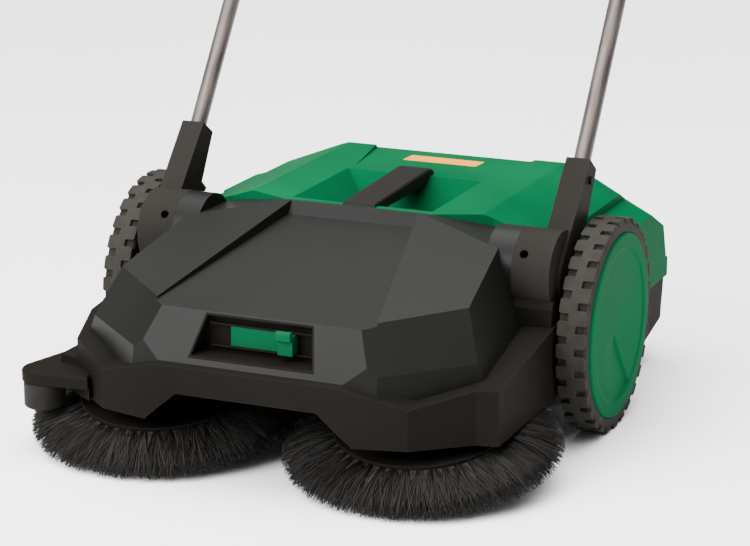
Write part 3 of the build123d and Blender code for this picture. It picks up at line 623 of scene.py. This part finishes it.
# ---- bristles ------------------------------------------------------------------------------------
def fibres(roots, knees, tips, radius, segments=4, sides=3):
    # tapered closed filaments along quadratic curves; arrays of points in millimetres
    count = len(roots)
    share = np.linspace(0, 1, segments + 1)[None, :, None]
    a, b, c = (p[:, None, :] for p in (roots, knees, tips))
    middle = (1 - share) ** 2 * a + 2 * share * (1 - share) * b + share ** 2 * c
    along = 2 * (1 - share) * (b - a) + 2 * share * (c - b)
    along /= np.linalg.norm(along, axis=2, keepdims=True)
    across = np.cross(along, np.array([0.31, 0.22, 0.92]))
    across /= np.linalg.norm(across, axis=2, keepdims=True)
    third = np.cross(along, across)
    thick = radius * (1 - 0.45 * share)
    rings = []
    for k in range(sides):
        turn = math.tau * k / sides
        rings.append(middle + thick * (math.cos(turn) * across + math.sin(turn) * third))
    points = np.stack(rings, axis=2).reshape(-1, 3)
    start = np.arange(count) * (segments + 1) * sides
    faces = []
    for step in range(segments):
        for k in range(sides):
            low, high = start + step * sides, start + (step + 1) * sides
            n = (k + 1) % sides
            faces.append(np.stack((low + k, low + n, high + n, high + k), axis=1))
    quads = np.concatenate(faces).tolist()
    root_caps = np.stack([start + k for k in reversed(range(sides))], axis=1).tolist()
    tip_caps = np.stack([start + segments * sides + k for k in range(sides)], axis=1).tolist()
    return points, quads + root_caps + tip_caps


BRUSH_X, BRUSH_Y, _ = joint_place("disc_brush_right_spin")
BRUSH_TILT = math.radians(10)
BRUSH_RADIUS = node_box("disc_bristles_right")[1][0] - BRUSH_X
BRUSH_Z = BRUSH_RADIUS * math.sin(BRUSH_TILT)
FIBRE_TUFTS = 88
FIBRES_PER_TUFT = 58
ROOT_RADIUS = 103
ROW_GAP = 11
ROOT_HEIGHT = 40.0
# outline of the dark sheet of painted shade inside the bristle field: radius, height along the spindle
HULL = [(97, 39), (119, 39), (150, 31), (182, 12), (176, 7), (140, 9), (110, 24)]
HULL_STEPS = 72


def on_disc(points, side):
    # brush coordinates (right, rear, along the spindle) as world points
    u, v, h = points[:, 0], points[:, 1], points[:, 2]
    x = side * BRUSH_X + u
    y = BRUSH_Y + v * math.cos(BRUSH_TILT) - h * math.sin(BRUSH_TILT)
    z = BRUSH_Z + v * math.sin(BRUSH_TILT) + h * math.cos(BRUSH_TILT)
    return np.stack((x, y, np.maximum(z, 0.8)), axis=1)


def polar(radius, turn, height):
    return np.stack((radius * np.cos(turn), radius * np.sin(turn), height), axis=1)


def make_disc_bristles(name, side, seed):
    # tufts in two rows that lean outwards to the floor, over a dark hull of painted shade that closes the
    # gaps
    draw = np.random.default_rng(seed)
    tuft = np.repeat(np.arange(FIBRE_TUFTS), FIBRES_PER_TUFT)
    count = len(tuft)
    row = tuft % 2
    turn = math.tau * tuft / FIBRE_TUFTS + draw.normal(0, 0.012, count)
    root_radius = ROOT_RADIUS + ROW_GAP * row + draw.normal(0, 2.0, count)
    spread = draw.normal(0, 0.085, count) + draw.normal(0, 0.03, FIBRE_TUFTS)[tuft]
    reach = 187 + 8 * row + draw.normal(0, 3.2, count).clip(-9, 2.4)
    low = 3 + 13 * draw.random(count) ** 1.4
    roots = on_disc(polar(root_radius, turn, np.full(count, ROOT_HEIGHT)), side)
    bulge = root_radius + 0.62 * (reach - root_radius)
    knees = on_disc(polar(bulge, turn + 0.4 * spread, 31 + 5 * draw.random(count)), side)
    tips = on_disc(polar(reach, turn + spread, low), side)
    points, faces = fibres(roots, knees, tips, 0.8)
    fibre_faces = len(faces)
    first = len(points)
    size = len(HULL)
    turns = np.arange(HULL_STEPS) * math.tau / HULL_STEPS
    hull = []
    for r, h in HULL:
        still = np.ones(HULL_STEPS)
        hull.append(on_disc(polar(r * still, turns, h * still), side))
    points = np.concatenate([points, np.stack(hull, axis=1).reshape(-1, 3)])
    for step in range(HULL_STEPS):
        here, there = first + step * size, first + ((step + 1) % HULL_STEPS) * size
        for i in range(size):
            j = (i + 1) % size
            faces.append([here + i, here + j, there + j, there + i])
    node = "disc_bristles_" + name
    mesh = bpy.data.meshes.new(node + "_fibres")
    mesh.from_pydata((points * MM).tolist(), [], faces)
    mesh.polygons.foreach_set("material_index", [int(i >= fibre_faces) for i in range(len(faces))])
    mesh.polygons.foreach_set("use_smooth", [True] * len(faces))
    piece = bpy.data.objects.new(node + "_fibres", mesh)
    scene.collection.objects.link(piece)
    mesh.materials.append(materials["bristle"])
    mesh.materials.append(materials["bristle_shade"])
    settle_normals(piece)
    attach(piece, body_of[node])
    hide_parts(node)


_, ROLLER_Y, ROLLER_Z = joint_place("roller_brush_spin")
ROLLER_HALF, ROLLER_REAR_Y, _ = node_box("roller_bristles")[1]
ROLLER_RADIUS = ROLLER_REAR_Y - ROLLER_Y
ROLLER_ROWS = 6
ROLLER_FIBRES = 3600


def make_roller_bristles():
    # slightly twisted rows of fibres round the core
    draw = np.random.default_rng(23)
    count = ROLLER_FIBRES
    x = draw.uniform(-ROLLER_HALF + 2, ROLLER_HALF - 2, count)
    row = draw.integers(0, ROLLER_ROWS, count)
    turn = math.tau * row / ROLLER_ROWS + 1.6 * x / ROLLER_HALF + draw.normal(0, 0.05, count)
    lean = draw.normal(0, 0.07, count)
    top = ROLLER_RADIUS - 0.6 - 2.2 * draw.random(count)

    def at(radius, angle, shift):
        y, z = ROLLER_Y + radius * np.cos(angle), ROLLER_Z + radius * np.sin(angle)
        return np.stack((x + shift, y, z), axis=1)

    still = np.zeros(count)
    roots = at(np.full(count, 15.0), turn, still)
    knees = at(np.full(count, 31.0), turn, still)
    tips = at(top, turn + lean, draw.normal(0, 1.0, count))
    points, faces = fibres(roots, knees, tips, 0.7, 2)
    mesh = bpy.data.meshes.new("roller_bristles_fibres")
    mesh.from_pydata((points * MM).tolist(), [], faces)
    node = "roller_bristles"
    piece = add_piece(node + "_fibres", mesh, "bristle", body_of[node], (node,))
    settle_normals(piece)


# ---- handle grip ---------------------------------------------------------------------------------
GRIP_LOW, GRIP_HIGH = node_box("handle_grip")
GRIP_HALF = GRIP_HIGH[0]
CROSSBAR_Y, CROSSBAR_Z = (round((a + b) / 2, 1) for a, b in zip(GRIP_LOW[1:], GRIP_HIGH[1:]))
GRIP_RADIUS = GRIP_HIGH[1] - CROSSBAR_Y


def make_handle_grip():
    # foam sleeve with an end bead and four groups of finger grooves
    bead = ((8.0, GRIP_RADIUS), (2.5, GRIP_RADIUS), (0.8, 15.6), (0.0, 14.2))
    end = [(GRIP_HALF - inset, r) for inset, r in bead]
    crest = [(-x, r) for x, r in reversed(end)]
    for group in (-129, -43, 43, 129):
        for groove in range(-3, 4):
            at = group + 8 * groove
            crest += [(at - 2.6, 15.9), (at - 1.4, 15.3), (at, 14.9), (at + 1.4, 15.3), (at + 2.6, 15.9)]
    outline = [(-GRIP_HALF, 12.5)] + crest + end + [(GRIP_HALF, 12.5)]
    bm = bmesh.new()
    spin(bm, outline, CROSSBAR_Y, CROSSBAR_Z, 1, 48)
    node = "handle_grip"
    mesh = mesh_from(node + "_sleeve", bm)
    piece = add_piece(node + "_sleeve", mesh, "foam_grip", body_of[node], (node,))
    sharpen(piece, 50)


# ---- label on the bin ----------------------------------------------------------------------------
LABEL_LEFT = -61.0
LABEL_RIGHT = 63.0
LABEL_FRONT = 250.0
LABEL_REAR = 292.0
LABEL_CORNER = 4.0
FALL_START_Y = 170.0
FALL_ANGLE = math.radians(2.1)
BIN_TOP_Z = node_box("bin_cover")[1][2]


def make_label():
    # a strip with rounded corners, stuck on the top behind the well
    bm = bmesh.new()
    outline = []
    right, left = LABEL_RIGHT - LABEL_CORNER, LABEL_LEFT + LABEL_CORNER
    front, rear = LABEL_FRONT + LABEL_CORNER, LABEL_REAR - LABEL_CORNER
    for x, y, start in ((right, rear, 0), (left, rear, 90), (left, front, 180), (right, front, 270)):
        for step in range(7):
            turn = math.radians(start + 15 * step)
            outline.append((x + LABEL_CORNER * math.cos(turn), y + LABEL_CORNER * math.sin(turn)))

    def surface(y):
        return BIN_TOP_Z - math.tan(FALL_ANGLE) * (y - FALL_START_Y)

    low = [bm.verts.new(mm(x, y, surface(y) - 0.3)) for x, y in outline]
    high = [bm.verts.new(mm(x, y, surface(y) + 0.35)) for x, y in outline]
    bm.faces.new(low)
    bm.faces.new(high)
    for i in range(len(outline)):
        j = (i + 1) % len(outline)
        bm.faces.new((low[i], low[j], high[j], high[i]))
    piece = add_piece("bin_label", mesh_from("bin_label", bm), "label", body_of["bin_cover"])
    sharpen(piece, 40)


# ---- finish --------------------------------------------------------------------------------------
# nodes whose finish isn't their slot's own
NODE_FINISHES = {
    "socket_bolts": "black_plastic",
    "handle_grip": "foam_grip",
    "bin_grip": "grip_plastic",
    # painted shade: the slider gets the darker copy of the green plastic
    "height_slider": "green_painted_shade",
}


def finish_nodes():
    # every CAD node gets a finish, hidden ones too
    slots = {entry["node"]: entry["material_slot"] for entry in frame["record"]["subparts"]}
    for name, node in nodes.items():
        paint(node, materials[NODE_FINISHES.get(name, slots[name])])


def make_floor():
    bm = bmesh.new()
    bmesh.ops.create_grid(bm, x_segments=8, y_segments=8, size=24)
    floor = bpy.data.objects.new("floor", mesh_from("floor", bm))
    scene.collection.objects.link(floor)
    paint(floor, materials["floor"])


make_camera()
make_lights()
materials = make_materials()
finish_nodes()
make_shells()
for number, (name, side) in enumerate(SIDES.items()):
    make_tyre(name, side)
    make_cap(name, side)
    make_disc_bristles(name, side, 11 + number)
make_roller_bristles()
make_handle_grip()
make_label()
make_floor()
